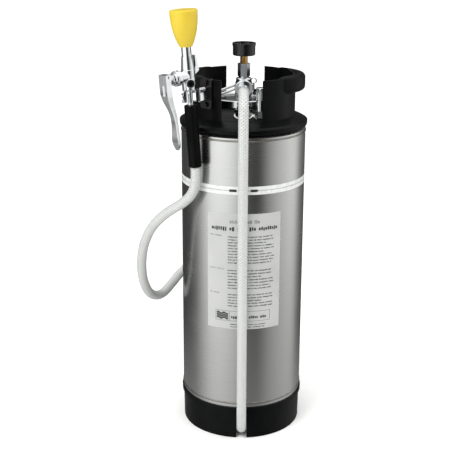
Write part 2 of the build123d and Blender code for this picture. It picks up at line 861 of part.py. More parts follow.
def make_lever_pin():
    pin = Cylinder(pin_r, lever_w + 1.0)
    for side in (-1, 1):
        pin += Pos(0, 0, side * (lever_w / 2 + 0.8)) * Cylinder(pin_r + 1.0, 0.8)
    return sprayer_place * (Pos(lever_pin_x, 0, lever_pin_z) * Rot(90, 0, 0) * pin)


def make_side_plug():
    plug = rod(5.0, 9, 14) - hex_rod(4.0, 11.5, 15)
    return sprayer_place * (Pos(0, 0, 23) * Rot(0, 0, 60) * along_x(plug))


def make_hose_nut():
    nut = rod(nut_r, -nut_half, nut_half - 1)
    flutes = 10
    for i in range(flutes):
        nut -= Rot(0, 0, 360 / flutes * i) * (Pos(nut_r + 0.4, 0, 0) * rod(1.2, -nut_half - 1, nut_half - 3))
    nut += rod(collet_r, grip_top, -nut_half)
    nut -= rod(3.2, grip_top - 1, nut_half)
    return sprayer_place * nut


def make_grip():
    grip = rod(grip_r, grip_low, grip_top)
    grip = fillet(grip.edges(), 1.2)
    ribs = 24
    for i in range(ribs):
        groove = Pos(grip_r + 0.25, 0, 0) * rod(0.6, grip_low + 6, grip_top - 6)
        grip -= Rot(0, 0, 360 / ribs * i) * groove
    grip -= rod(collet_r - 1.0, grip_low - 1, grip_top + 1)
    return sprayer_place * grip


def make_spout():
    spout = rod(spout_r, sleeve_top, spout_top)
    spout -= rod(water_r, sleeve_top - 1, spout_top - 4)
    spout -= rod(spout_r - 1.5, spout_top - 4, spout_top + 1)
    return sprayer_place * spout


def make_diffuser():
    """Perforated disc that softens the spray."""
    disc = rod(spout_r - 1.5, spout_top - 4, spout_top)
    for ring_r_mm, count in ((0, 1), (2.2, 6), (4.4, 12)):
        for i in range(count):
            hole = Pos(ring_r_mm, 0, 0) * rod(0.5, spout_top - 5, spout_top + 1)
            disc -= Rot(0, 0, 360 / count * i) * hole
    return sprayer_place * disc


def cap_solid(inset):
    """Solid of the tulip cap's outer or inner side."""
    low_r = cap_low_r - inset
    rim_r = cap_mouth_r - inset
    rim_z = cap_top - inset
    side = Spline(
        (low_r, cap_low + 3),
        (16.6 - inset, cap_low + 15),
        (20.6 - inset, cap_low + 31),
        (rim_r, rim_z - 3),
        tangents=[(0.45, 1), (0.02, 1)],
    )
    foot = Line((low_r - 1.5, cap_low + inset), (low_r, cap_low + 3))
    crown = ThreePointArc((rim_r, rim_z - 3), (rim_r - 0.6, rim_z - 0.8), (rim_r - 2.2, rim_z))
    roof = Line((rim_r - 2.2, rim_z), (0, rim_z))
    axis = Line((0, rim_z), (0, cap_low + inset))
    floor = Line((0, cap_low + inset), (low_r - 1.5, cap_low + inset))
    return revolve(Plane.XZ * make_face([foot, side, crown, roof, axis, floor]), Axis.Z)


def make_dust_cap():
    cap = cap_solid(0) - cap_solid(cap_wall)
    cap -= tube(cap_mouth_r + 2, cap_mouth_r - 0.5, cap_top - 8.2, cap_top - 7.4)
    cap -= rod(spout_r + 1.4, cap_low - 1, cap_low + 10)
    return sprayer_place * cap


def make_cap_ring():
    """Soft ring in the cap's mouth that grips the spout."""
    return sprayer_place * tube(spout_r + 1.4, spout_r + 0.05, cap_low, cap_low + 6)


def bolt_sites():
    """Frames of the holder's two bolts, looking away from the tank."""
    return [holder_place * Pos(holder_wall_x, 0, side * bolt_gap / 2) * Rot(0, 90, 0) for side in (-1, 1)]


def holder_bolt_holes(depth):
    holes = [site * rod(bolt_r + bolt_fit, -depth, depth) for site in bolt_sites()]
    return holes[0] + holes[1]


def make_holder_plate():
    plate = fillet(Box(plate_t, plate_w, plate_h).edges().filter_by(Axis.X), 5.0)
    plate = holder_place * (Pos(holder_wall_x + holder_reach + plate_t / 2, 0, 0) * plate)
    return plate - holder_bolt_holes(12)


def make_holder():
    seat = holder_wall_x + holder_reach + plate_t
    block = Pos((seat + block_x) / 2, 0, 0) * Box(block_x - seat + 4, 19.0, 2 * prong_half_h + 4)
    block = fillet(block.edges().filter_by(Axis.X), 3.0)
    fork = Pos((block_x - 4 + prong_x) / 2, 0, 0) * Box(
        prong_x - block_x + 4, 2 * (prong_in + prong_t), 2 * prong_half_h
    )
    fork = fillet(fork.edges().filter_by(Axis.Y), 6.0)
    throat = Box(3 * prong_x - block_x, 2 * prong_in, 6 * prong_half_h)
    fork -= Pos((3 * prong_x + block_x) / 2 + nut_r, 0, 0) * throat
    holder = sprayer_place * (block + Rot(0, 0, fork_turn) * fork)
    holder -= holder_place * (Pos(seat - 50, 0, 0) * Box(100, 100, 100))
    holder -= sprayer_place * rod(prong_in, -plate_h, plate_h)
    return holder


def make_holder_bolts():
    bolts = []
    seat = holder_reach + plate_t
    for site in bolt_sites():
        bolt = rod(bolt_r, -handle_t - 8, seat) + hex_rod(bolt_head_flats, seat, seat + bolt_head_h)
        bolts.append(site * bolt)
    return Compound(children=bolts)


def make_holder_nuts():
    nuts = []
    for site in bolt_sites():
        seat = -handle_t - 1.9
        nut = hex_rod(bolt_head_flats, seat - 4, seat) - rod(bolt_r + 0.01, seat - 5, seat + 1)
        nuts.append(site * nut)
    return Compound(children=nuts)


def make_back_plate():
    """Strip behind the rubber wall that spreads the bolts' load."""
    x = holder_wall_x - handle_t - 1.2
    strip = holder_place * (Pos(x, 0, 0) * fillet(Box(1.4, 14, plate_h).edges().filter_by(Axis.X), 4.0))
    return strip - holder_bolt_holes(12)


makers = {
    "tank_shell": make_tank_shell,
    "top_head": make_top_head,
    "bottom_head": make_bottom_head,
    "lid_neck": make_lid_neck,
    "rubber_boot": make_boot,
    "rubber_collar": make_collar,
    "instruction_label": make_label,
    "water_line_band": make_band,
    "lid": make_lid,
    "lid_gasket": make_gasket,
    "lid_bail": make_bail,
    "bail_pins": make_bail_pins,
    "bail_feet": make_bail_feet,
    "relief_body": make_relief_body,
    "relief_stem": make_relief_stem,
    "relief_ring": make_relief_ring,
    "relief_spring": make_relief_spring,
    "outlet_bung": make_outlet_bung,
    "outlet_nipple": make_nipple,
    "tee_fitting": make_tee,
    "hose_ferrule": make_ferrule,
    "gauge_coupling": make_coupling,
    "gauge_stem": make_gauge_stem,
    "gauge_case": make_gauge_case,
    "gauge_bezel": make_bezel,
    "gauge_dial": make_dial,
    "gauge_needle": make_needle,
    "gauge_lens": make_lens,
    "dip_tube": make_dip_tube,
    "air_fill_body": make_fill_body,
    "air_fill_core": make_fill_core,
    "air_fill_cap": make_fill_cap,
    "hose": make_hose,
    "sprayer_body": make_sprayer_body,
    "hang_hook": make_hang_hook,
    "bonnet": make_bonnet,
    "valve_stem": make_valve_stem,
    "stem_spring": make_stem_spring,
    "seat_washer": make_seat_washer,
    "lever": make_lever,
    "lever_pin": make_lever_pin,
    "side_plug": make_side_plug,
    "hose_nut": make_hose_nut,
    "grip_sleeve": make_grip,
    "spout": make_spout,
    "spray_diffuser": make_diffuser,
    "dust_cap": make_dust_cap,
    "cap_ring": make_cap_ring,
    "sprayer_holder": make_holder,
    "holder_plate": make_holder_plate,
    "holder_bolts": make_holder_bolts,
    "holder_nuts": make_holder_nuts,
    "holder_back_plate": make_back_plate,
}

os.makedirs("parts", exist_ok=True)
for node, maker in makers.items():
    export_step(maker(), f"parts/{node}.step")
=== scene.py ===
import json
import math
import random

import bmesh
import bpy
from mathutils import Matrix, Vector


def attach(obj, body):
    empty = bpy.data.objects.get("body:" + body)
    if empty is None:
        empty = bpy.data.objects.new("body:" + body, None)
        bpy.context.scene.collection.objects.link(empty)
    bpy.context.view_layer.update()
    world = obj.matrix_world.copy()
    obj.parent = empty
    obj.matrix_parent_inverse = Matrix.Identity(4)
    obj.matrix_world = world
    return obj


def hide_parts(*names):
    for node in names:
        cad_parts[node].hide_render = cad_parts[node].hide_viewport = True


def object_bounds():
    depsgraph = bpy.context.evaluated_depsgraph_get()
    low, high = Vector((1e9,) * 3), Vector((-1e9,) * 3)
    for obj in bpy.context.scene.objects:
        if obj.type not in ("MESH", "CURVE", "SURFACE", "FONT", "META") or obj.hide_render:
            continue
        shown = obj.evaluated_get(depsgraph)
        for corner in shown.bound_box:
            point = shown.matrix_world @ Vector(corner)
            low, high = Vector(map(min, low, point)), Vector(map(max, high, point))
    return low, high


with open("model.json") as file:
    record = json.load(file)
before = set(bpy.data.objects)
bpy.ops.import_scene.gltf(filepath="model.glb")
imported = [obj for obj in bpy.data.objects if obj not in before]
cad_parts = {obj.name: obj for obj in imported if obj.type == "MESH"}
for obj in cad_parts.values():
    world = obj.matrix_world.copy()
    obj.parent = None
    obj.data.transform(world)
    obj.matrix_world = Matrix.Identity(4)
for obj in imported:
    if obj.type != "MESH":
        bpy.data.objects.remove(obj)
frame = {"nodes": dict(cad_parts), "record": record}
cadLow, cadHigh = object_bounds()
nodes = frame["nodes"]
print("frame loaded:", len(nodes), "CAD nodes")

# camera
camera = {
    "place": (-0.0896, -1.7679, 0.92749),  # metres, in front and above
    "looks": (0.0313, 0.9530, -0.3015),
    "roll": 0.003,  # radians
    "lens": 82.81,  # mm, on a 36 mm sensor
}


def makeCamera():
    data = bpy.data.cameras.new("camera")
    data.lens = camera["lens"]
    data.sensor_width = 36
    data.clip_start = 0.05
    data.clip_end = 60
    cam = bpy.data.objects.new("camera", data)
    bpy.context.scene.collection.objects.link(cam)
    turn = Vector(camera["looks"]).to_track_quat("-Z", "Y").to_matrix()
    cam.matrix_world = (
        Matrix.Translation(camera["place"]) @ (turn @ Matrix.Rotation(camera["roll"], 3, "Z")).to_4x4()
    )
    bpy.context.scene.camera = cam


makeCamera()
print("camera placed")


# colours and nodes
def srgb(hexColour):  # an sRGB hex colour as linear RGBA
    channels = [int(hexColour[i : i + 2], 16) / 255 for i in (1, 3, 5)]
    return tuple(c / 12.92 if c <= 0.04045 else ((c + 0.055) / 1.055) ** 2.4 for c in channels) + (1.0,)


def addNode(tree, kind, settings=None, links=None):  # one node, its settings, and what feeds its sockets
    node = tree.nodes.new("ShaderNode" + kind)
    for name, value in (settings or {}).items():
        if isinstance(name, int) or name in node.inputs:
            node.inputs[name].default_value = value
        else:
            setattr(node, name, value)
    for name, source in (links or {}).items():
        tree.links.new(source, node.inputs[name])
    return node


def newMaterial(name, **sockets):  # a Principled material with its uniform values on the shader itself
    made = bpy.data.materials.new(name)
    made.use_nodes = True
    tree = made.node_tree
    shader = tree.nodes["Principled BSDF"]
    for socket, value in sockets.items():
        shader.inputs[socketNames[socket]].default_value = value
    return made, tree, shader


socketNames = {
    "metallic": "Metallic",
    "roughness": "Roughness",
    "ior": "IOR",
    "coat": "Coat Weight",
    "coatRoughness": "Coat Roughness",
    "scatter": "Subsurface Weight",
    "scatterScale": "Subsurface Scale",
    "transmission": "Transmission Weight",
    "specular": "Specular IOR Level",
}


def grain(tree, sizeMm, detail=3, stretch=(1, 1, 1)):  # noise in real size on the piece's own coordinates
    place = addNode(tree, "TexCoord").outputs["Object"]
    scaled = addNode(tree, "VectorMath", {"operation": "MULTIPLY", 1: stretch}, {0: place})
    return addNode(
        tree, "TexNoise", {"Scale": 1000 / sizeMm, "Detail": detail}, {"Vector": scaled.outputs[0]}
    ).outputs["Fac"]


def spread(tree, source, low, high, fromLow=0.3, fromHigh=0.7):  # a share of noise as a range of values
    return addNode(
        tree, "MapRange", {1: fromLow, 2: fromHigh, 3: low, 4: high}, {0: source}
    ).outputs[0]


def tint(tree, source, dark, light):  # noise as a run between two colours
    return addNode(
        tree, "Mix", {"data_type": "RGBA", 6: srgb(dark), 7: srgb(light)}, {0: source}
    ).outputs[2]


def relief(tree, shader, source, heightMm, strength=1.0):  # a bump of real height
    bump = addNode(
        tree, "Bump", {"Strength": strength, "Distance": heightMm / 1000}, {"Height": source}
    )
    tree.links.new(bump.outputs[0], shader.inputs["Normal"])


def feed(tree, shader, socket, source):
    tree.links.new(source, shader.inputs[socket])


def linkPiece(name, mesh, body, material, smooth=True):
    piece = bpy.data.objects.new(name, mesh)
    bpy.context.scene.collection.objects.link(piece)
    mesh.materials.clear()
    mesh.materials.append(material)
    if smooth:
        mesh.shade_smooth()
    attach(piece, body)
    return piece


# hose
hose = {
    "diameter": 0.017,
    "length": 1.599,  # metres, along the tube
    "sides": 36,
    "yarnMm": 5.0,  # spacing of the braid's yarns; a real braid is 2 mm, too fine to show
    "carriers": 8,  # yarns each way round
    "outer": "#d0d1cf",
    "gap": "#868a89",
    "route": [
        (-0.0041, -0.0809, 0.628),
        (-0.005113, -0.10089, 0.620715),
        (-0.0062, -0.1214, 0.602),
        (-0.0061, -0.1214, 0.47),  # the long straight run down the front
        (-0.0057, -0.1214, 0.125),
        (-0.0056, -0.1214, 0.038),
        (-0.0046, -0.1085, 0.017),
        (-0.0028, -0.066, 0.011),
        (0.0004, 0.01, 0.01),
        (0.0032, 0.076, 0.0115),
        (0.0046, 0.109, 0.0185),
        (0.0052, 0.1245, 0.044),
        (0.003, 0.128, 0.096),
        (-0.006, 0.129, 0.16),
        (-0.024, 0.13, 0.212),
        (-0.05, 0.128, 0.246),
        (-0.08, 0.116, 0.258),
        (-0.108, 0.098, 0.25),
        (-0.13, 0.076, 0.228),
        (-0.15, 0.052, 0.213),
        (-0.17, 0.026, 0.226),
        (-0.1805, 0.002, 0.262),
        (-0.182, -0.018, 0.304),
        (-0.176, -0.034, 0.346),
        (-0.16, -0.048, 0.383),
        (-0.134, -0.064, 0.412),
        (-0.109, -0.078, 0.43),
        (-0.09, -0.0865, 0.449),
        (-0.082511, -0.090605, 0.475552),
        (-0.084197, -0.090492, 0.499493),
    ],
}


def routeLine():  # points along the route's own NURBS spline
    curve = bpy.data.curves.new("hoseRoute", "CURVE")
    curve.dimensions = "3D"
    curve.resolution_u = 12
    spline = curve.splines.new("NURBS")
    spline.points.add(len(hose["route"]) - 1)
    for point, place in zip(spline.points, hose["route"]):
        point.co = (*place, 1)
    spline.order_u = 3
    spline.use_endpoint_u = True
    holder = bpy.data.objects.new("hoseRoute", curve)
    bpy.context.scene.collection.objects.link(holder)
    bpy.context.view_layer.update()
    line = bpy.data.meshes.new_from_object(holder.evaluated_get(bpy.context.evaluated_depsgraph_get()))
    points = [v.co.copy() for v in line.vertices]
    bpy.data.objects.remove(holder)
    bpy.data.meshes.remove(line)
    bpy.data.curves.remove(curve)
    return [p for i, p in enumerate(points) if i == 0 or (p - points[i - 1]).length > 1e-5]


def sweepTube(name, line, radius, sides):
    # rings carried along the line without twist; the map holds metres along it and turns round it
    mesh = bpy.data.meshes.new(name)
    bm = bmesh.new()
    around = bm.loops.layers.uv.new("tubeMap")
    side = Vector((1, 0, 0))
    rings, walked, marks = [], 0.0, []
    for i, point in enumerate(line):
        ahead = (line[min(i + 1, len(line) - 1)] - line[max(i - 1, 0)]).normalized()
        side = (side - side.dot(ahead) * ahead).normalized()
        up = ahead.cross(side)
        walked += (point - line[i - 1]).length if i else 0
        marks.append(walked)
        ring = []
        for k in range(sides):
            a = 2 * math.pi * k / sides
            ring.append(bm.verts.new(point + radius * (math.cos(a) * side + math.sin(a) * up)))
        rings.append(ring)
    for i in range(len(rings) - 1):
        for k in range(sides):
            nextK = (k + 1) % sides
            face = bm.faces.new((rings[i][k], rings[i][nextK], rings[i + 1][nextK], rings[i + 1][k]))
            spots = [(marks[i], k), (marks[i], k + 1), (marks[i + 1], k + 1), (marks[i + 1], k)]
            for loop, (along, turn) in zip(face.loops, spots):
                loop[around].uv = (along, turn / sides)
    bm.faces.new(list(reversed(rings[0])))
    bm.faces.new(rings[-1])
    bmesh.ops.recalc_face_normals(bm, faces=bm.faces)
    bm.to_mesh(mesh)
    bm.free()
    return mesh


def braidedPvc():
    # clear PVC hose over a polyester braid: an even satin white, with a faint criss-cross of yarns
    made, tree, shader = newMaterial("braidedPvcHose", roughness=0.34, ior=1.5, coat=0.35, coatRoughness=0.18)
    where = addNode(tree, "UVMap", {"uv_map": "tubeMap"}).outputs["UV"]
    parts = addNode(tree, "SeparateXYZ", links={0: where})
    along = addNode(tree, "Math", {"operation": "MULTIPLY", 1: 1000 / hose["yarnMm"]}, {0: parts.outputs[0]})
    turns = addNode(tree, "Math", {"operation": "MULTIPLY", 1: hose["carriers"]}, {0: parts.outputs[1]})
    yarns = []
    for way in ("ADD", "SUBTRACT"):
        helix = addNode(tree, "Math", {"operation": way}, {0: along.outputs[0], 1: turns.outputs[0]})
        saw = addNode(tree, "Math", {"operation": "PINGPONG", 1: 0.5}, {0: helix.outputs[0]})
        yarns.append(spread(tree, saw.outputs[0], 0, 1, 0.12, 0.3))
    weave = addNode(tree, "Math", {"operation": "MAXIMUM"}, {0: yarns[0], 1: yarns[1]}).outputs[0]
    fleck = grain(tree, 2.6, 2)
    mixed = addNode(tree, "Math", {"operation": "MULTIPLY"}, {0: weave, 1: spread(tree, fleck, 0.55, 1)})
    feed(tree, shader, "Base Color", tint(tree, mixed.outputs[0], hose["gap"], hose["outer"]))
    feed(tree, shader, "Roughness", spread(tree, fleck, 0.28, 0.42))
    relief(tree, shader, weave, 0.2, 0.6)
    return made


hoseLine = routeLine()
hosePiece = linkPiece(
    "hoseTube",
    sweepTube("hoseTube", hoseLine, hose["diameter"] / 2, hose["sides"]),
    "tank",
    braidedPvc(),
)
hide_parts("hose")
print("hose laid along", len(hose["route"]), "points")

# studio
studio = {
    "floorSize": 40,  # metres
    "floor": "#fdfdfc",
    "top": 1.7,  # brightness of the overhead softbox
    "fall": 0.5,  # how much of the walls' brightness is left near the ground
    "below": 0.5,  # brightness of the ground in reflections
    "haze": 0.62,  # how far the lowest reflections even out towards it
    "topBand": (0.45, 0.85),  # where each comes in, as the Z of the direction looked in
    "fallBand": (-0.25, -0.41),
    "hazeBand": (-0.385, -0.46),
    # direction round the object in degrees from the front, towards +X, and how bright the studio is there
    "walls": [
        (-180, 0.10),
        (-140, 0.06),
        (-118, 0.09),
        (-101, 0.22),
        (-90, 0.60),
        (-78, 1.05),
        (-64, 1.55),
        (-46, 1.65),
        (-32, 1.50),
        (-17, 1.25),
        (-6, 0.80),
        (-1, 0.08),
        (22, 0.03),
        (30, 0.06),
        (40, 0.32),
        (50, 0.55),
        (62, 0.75),
        (74, 0.90),
        (86, 1.02),
        (98, 1.15),
        (112, 1.00),
        (122, 0.45),
        (134, 0.20),
        (152, 0.10),
        (180, 0.10),
    ],
    "key": {"place": (-1.5, -1.6, 2.3), "size": 1.4, "watts": 34},
    "fill": {"place": (1.9, -1.3, 1.9), "size": 1.6, "watts": 13},
    "aim": (0, 0, 0.35),  # the point both lights face
}


def makeWorld():
    # softboxes left and right with a dark gap between them, as bands of brightness round the horizon
    world = bpy.data.worlds.new("studio")
    world.use_nodes = True
    bpy.context.scene.world = world
    tree = world.node_tree
    tree.nodes.clear()
    aim = addNode(tree, "TexCoord").outputs["Generated"]
    parts = addNode(tree, "SeparateXYZ", links={0: aim})
    front = addNode(tree, "Math", {"operation": "MULTIPLY", 1: -1}, {0: parts.outputs["Y"]})
    angle = addNode(tree, "Math", {"operation": "ARCTAN2"}, {0: parts.outputs["X"], 1: front.outputs[0]})
    share = addNode(tree, "MapRange", {1: -math.pi, 2: math.pi}, {0: angle.outputs[0]})
    walls = addNode(tree, "ValToRGB", links={0: share.outputs[0]})
    stops = walls.color_ramp.elements
    while len(stops) < len(studio["walls"]):
        stops.new(0.5)
    for stop, (degrees, bright) in zip(stops, studio["walls"]):
        stop.position = (degrees + 180) / 360
        stop.color = (bright, bright, bright * 0.995, 1)
    height = parts.outputs["Z"]
    start, end = studio["topBand"]
    up = addNode(tree, "MapRange", {"interpolation_type": "SMOOTHSTEP", 1: start, 2: end}, {0: height})
    start, end = studio["fallBand"]
    fall = addNode(tree, "MapRange", {1: start, 2: end, 3: 1.0, 4: studio["fall"]}, {0: height})
    start, end = studio["hazeBand"]
    down = addNode(tree, "MapRange", {1: start, 2: end, 3: 0.0, 4: studio["haze"]}, {0: height})
    dimmed = addNode(
        tree, "Mix", {"data_type": "RGBA", 6: (0, 0, 0, 1)}, {0: fall.outputs[0], 7: walls.outputs[0]}
    )
    lit = addNode(
        tree,
        "Mix",
        {"data_type": "RGBA", 7: (studio["top"],) * 3 + (1,)},
        {0: up.outputs[0], 6: dimmed.outputs[2]},
    )
    low = addNode(
        tree,
        "Mix",
        {"data_type": "RGBA", 7: (studio["below"],) * 3 + (1,)},
        {0: down.outputs[0], 6: lit.outputs[2]},
    )
    room = addNode(tree, "Background", links={"Color": low.outputs[2]})
    white = addNode(tree, "Background", {"Color": (1, 1, 1, 1), "Strength": 1.0})
    seen = addNode(tree, "LightPath").outputs["Is Camera Ray"]
    both = addNode(tree, "MixShader", links={0: seen, 1: room.outputs[0], 2: white.outputs[0]})
    addNode(tree, "OutputWorld", links={"Surface": both.outputs[0]})


def makeFloor():
    # a seamless pale sweep, matt, so that only soft contact shadow shows on it
    made, tree, shader = newMaterial("paleBackdropPaper", roughness=0.9)
    shade = spread(tree, grain(tree, 60, 4), 0.0, 1.0)
    feed(tree, shader, "Base Color", tint(tree, shade, "#fafaf9", studio["floor"]))
    mesh = bpy.data.meshes.new("floor")
    half = studio["floorSize"] / 2
    mesh.from_pydata(
        [(-half, -half, 0), (half, -half, 0), (half, half, 0), (-half, half, 0)], [], [(0, 1, 2, 3)]
    )
    mesh.materials.append(made)
    floor = bpy.data.objects.new("floor", mesh)
    floor.location.z = cadLow.z - 0.0003
    floor.visible_glossy = False
    bpy.context.scene.collection.objects.link(floor)


def makeLight(name, box):
    data = bpy.data.lights.new(name, "AREA")
    data.size = box["size"]
    data.energy = box["watts"]
    light = bpy.data.objects.new(name, data)
    light.location = box["place"]
    aim = Vector(studio["aim"]) - Vector(box["place"])
    light.rotation_mode = "QUATERNION"
    light.rotation_quaternion = aim.to_track_quat("-Z", "Y")
    light.visible_glossy = False
    bpy.context.scene.collection.objects.link(light)


makeWorld()
makeFloor()
makeLight("keySoftbox", studio["key"])
makeLight("fillSoftbox", studio["fill"])
bpy.context.scene.view_settings.view_transform = "Standard"
print("studio lit")

# stainless steel
steel = {
    "dark": "#c5c6c4",
    "light": "#c9cac8",
    "strokeMm": (46.0, 1.6),  # a satin stroke; real ones are 0.1 mm high, too fine to show
    "roughness": (0.24, 0.28),
    "welds": (0.068, 0.546),  # metres up
    "tintMm": 2.2,  # how far the heat tint reaches from a weld
    "tintCoreMm": 0.6,
    "tintShare": 0.75,
    "radiusMm": 108,
    "weldTint": "#6f6b66",
}


def roundTheTank(tree, longMm, highMm):  # a vector that runs round the tank's axis in strokes of that size
    place = addNode(tree, "TexCoord").outputs["Object"]
    parts = addNode(tree, "SeparateXYZ", links={0: place})
    front = addNode(tree, "Math", {"operation": "MULTIPLY", 1: -1}, {0: parts.outputs["Y"]})
    angle = addNode(tree, "Math", {"operation": "ARCTAN2"}, {0: parts.outputs["X"], 1: front.outputs[0]})
    turns = steel["radiusMm"] / longMm
    along = addNode(tree, "Math", {"operation": "MULTIPLY", 1: turns}, {0: angle.outputs[0]})
    high = addNode(tree, "Math", {"operation": "MULTIPLY", 1: 1000 / highMm}, {0: parts.outputs["Z"]})
    joined = addNode(tree, "CombineXYZ", links={0: along.outputs[0], 1: high.outputs[0]})
    return joined.outputs[0], parts.outputs["Z"]


def satinStainless():
    # 304 stainless sheet, rolled, with a satin finish put on round the tank: broad soft bands of light
    made, tree, shader = newMaterial("satinStainlessSheet", metallic=1.0, roughness=0.27)
    strokes, height = roundTheTank(tree, *steel["strokeMm"])
    satin = addNode(tree, "TexNoise", {"Scale": 1.0, "Detail": 4.0}, {"Vector": strokes}).outputs["Fac"]
    cloud = grain(tree, 55, 3)
    shade = tint(tree, spread(tree, satin, 0, 1), steel["dark"], steel["light"])
    for weld in steel["welds"]:  # heat tint beside each weld
        away = addNode(tree, "Math", {"operation": "SUBTRACT", 1: weld}, {0: height})
        apart = addNode(tree, "Math", {"operation": "ABSOLUTE"}, {0: away.outputs[0]})
        near = addNode(
            tree,
            "MapRange",
            {1: steel["tintMm"] / 1000, 2: steel["tintCoreMm"] / 1000, 3: 0.0, 4: steel["tintShare"]},
            {0: apart.outputs[0]},
        )
        shade = addNode(
            tree, "Mix", {"data_type": "RGBA", 7: srgb(steel["weldTint"])}, {0: near.outputs[0], 6: shade}
        ).outputs[2]
    feed(tree, shader, "Base Color", shade)
    rough = addNode(tree, "Math", {"operation": "ADD"}, {0: spread(tree, satin, -0.006, 0.006)})
    tree.links.new(spread(tree, cloud, *steel["roughness"]), rough.inputs[1])
    feed(tree, shader, "Roughness", rough.outputs[0])
    relief(tree, shader, satin, 0.001, 0.02)
    return made


def turnedStainless(name, roughness, sizeMm):
    # machined or pressed stainless fittings: brighter than the sheet, with fine tool marks
    made, tree, shader = newMaterial(name, metallic=1.0, roughness=roughness)
    marks = grain(tree, sizeMm, 3, (1, 1, 6))
    feed(tree, shader, "Base Color", tint(tree, spread(tree, marks, 0, 1), "#c4c6c6", "#d2d4d4"))
    feed(tree, shader, "Roughness", spread(tree, marks, roughness - 0.05, roughness + 0.07))
    relief(tree, shader, marks, 0.008, 0.2)
    return made


# other finishes
rubber = {"dark": "#050606", "light": "#0a0b0b", "grainMm": 1.4, "bloomMm": 26, "roughness": (0.3, 0.42)}
chrome = {
    "dark": "#dcdfe1",
    "light": "#eceeef",
    "rippleMm": 9.0,
    "smearMm": 14,
    "roughness": (0.05, 0.09),
}
plating = {"dark": "#a9adb2", "light": "#bcc0c4", "spangleMm": 7.0}
capPlastic = {"dark": "#cdb22b", "light": "#d3ba33", "moundMm": 26.0}


def mouldedRubber(name, light=None, low=None):
    # compression-moulded nitrile rubber: near black, with a soft charcoal shine where it turns to the light
    made, tree, shader = newMaterial(name, ior=1.5, specular=0.1)
    pores = grain(tree, rubber["grainMm"], 3)
    bloom = grain(tree, rubber["bloomMm"], 3)
    shade = tint(tree, spread(tree, bloom, 0, 1), rubber["dark"], light or rubber["light"])
    feed(tree, shader, "Base Color", shade)
    smoothest, dullest = rubber["roughness"]
    feed(tree, shader, "Roughness", spread(tree, bloom, low or smoothest, dullest))
    relief(tree, shader, pores, 0.05, 0.35)
    return made


def chromePlate():
    # bright chrome on a polished brass or zinc casting: black and white bands that ripple a little
    made, tree, shader = newMaterial("brightChromePlate", metallic=1.0)
    ripple = grain(tree, chrome["rippleMm"], 1)
    smear = grain(tree, chrome["smearMm"], 3)
    feed(tree, shader, "Base Color", tint(tree, spread(tree, smear, 0, 1), chrome["dark"], chrome["light"]))
    feed(tree, shader, "Roughness", spread(tree, smear, *chrome["roughness"]))
    relief(tree, shader, ripple, 0.06, 0.2)
    return made


def zincPlate():
    # clear-passivated zinc on steel: a soft grey shine with faint spangle
    made, tree, shader = newMaterial("clearZincPlate", metallic=1.0)
    spangle = grain(tree, plating["spangleMm"], 2)
    shade = tint(tree, spread(tree, spangle, 0, 1), plating["dark"], plating["light"])
    feed(tree, shader, "Base Color", shade)
    feed(tree, shader, "Roughness", spread(tree, spangle, 0.16, 0.24))
    relief(tree, shader, grain(tree, 1.6, 2), 0.004, 0.2)
    return made


def turnedBrass():
    # drawn brass bar, turned: warm yellow, dulled a little brown by handling
    made, tree, shader = newMaterial("turnedBrass", metallic=1.0)
    dull = grain(tree, 4, 3)
    feed(tree, shader, "Base Color", tint(tree, spread(tree, dull, 0, 1), "#8f6a35", "#d9b16a"))
    feed(tree, shader, "Roughness", spread(tree, dull, 0.2, 0.36))
    relief(tree, shader, grain(tree, 1.2, 2, (1, 1, 5)), 0.02, 0.3)
    return made


def blackEnamel():
    # stoved black enamel on pressed steel: deep black with a warm, glossy shine
    made, tree, shader = newMaterial(
        "stovedBlackEnamel", ior=1.5, specular=0.25, coat=0.3, coatRoughness=0.06
    )
    peel = grain(tree, 3.0, 2)
    feed(tree, shader, "Base Color", tint(tree, spread(tree, peel, 0, 1), "#0a0808", "#120e0f"))
    feed(tree, shader, "Roughness", spread(tree, peel, 0.2, 0.3))
    relief(tree, shader, peel, 0.03, 0.25)
    return made


def printedDial():
    # white lacquered tin plate behind the glass
    made, tree, shader = newMaterial("whiteDialLacquer", ior=1.5, roughness=0.4)
    feed(tree, shader, "Base Color", tint(tree, grain(tree, 8, 2), "#ecebe6", "#fafaf8"))
    return made


def clearLens():
    # clear acrylic window: shows the dial, and catches a bright edge
    made, tree, shader = newMaterial("clearAcrylicLens", ior=1.49, transmission=1.0, roughness=0.03)
    feed(tree, shader, "Base Color", tint(tree, grain(tree, 10, 2), "#f4f8f8", "#ffffff"))
    return made


def matInk(name, dark, light):
    # screen-printed ink: dense, with slightly uneven cover
    made, tree, shader = newMaterial(name, ior=1.5, roughness=0.5)
    feed(tree, shader, "Base Color", tint(tree, spread(tree, grain(tree, 3, 3), 0, 1), dark, light))
    return made


def labelVinyl():
    # matt white vinyl label: paper-like fibre, and a little grey where it has been handled
    made, tree, shader = newMaterial("mattWhiteVinyl", ior=1.5, coat=0.1, coatRoughness=0.4)
    fibre = grain(tree, 1.5, 3)
    handled = grain(tree, 40, 3)
    feed(tree, shader, "Base Color", tint(tree, spread(tree, handled, 0, 1), "#adaeac", "#b4b5b3"))
    feed(tree, shader, "Roughness", spread(tree, fibre, 0.45, 0.6))
    relief(tree, shader, fibre, 0.02, 0.3)
    return made


def bandFilm():
    # glossy white polyester tape
    made, tree, shader = newMaterial("glossWhitePolyesterTape", ior=1.6)
    crease = grain(tree, 9, 2)
    feed(tree, shader, "Base Color", tint(tree, spread(tree, crease, 0, 1), "#cfd1cf", "#d7d9d7"))
    feed(tree, shader, "Roughness", spread(tree, crease, 0.22, 0.34))
    return made


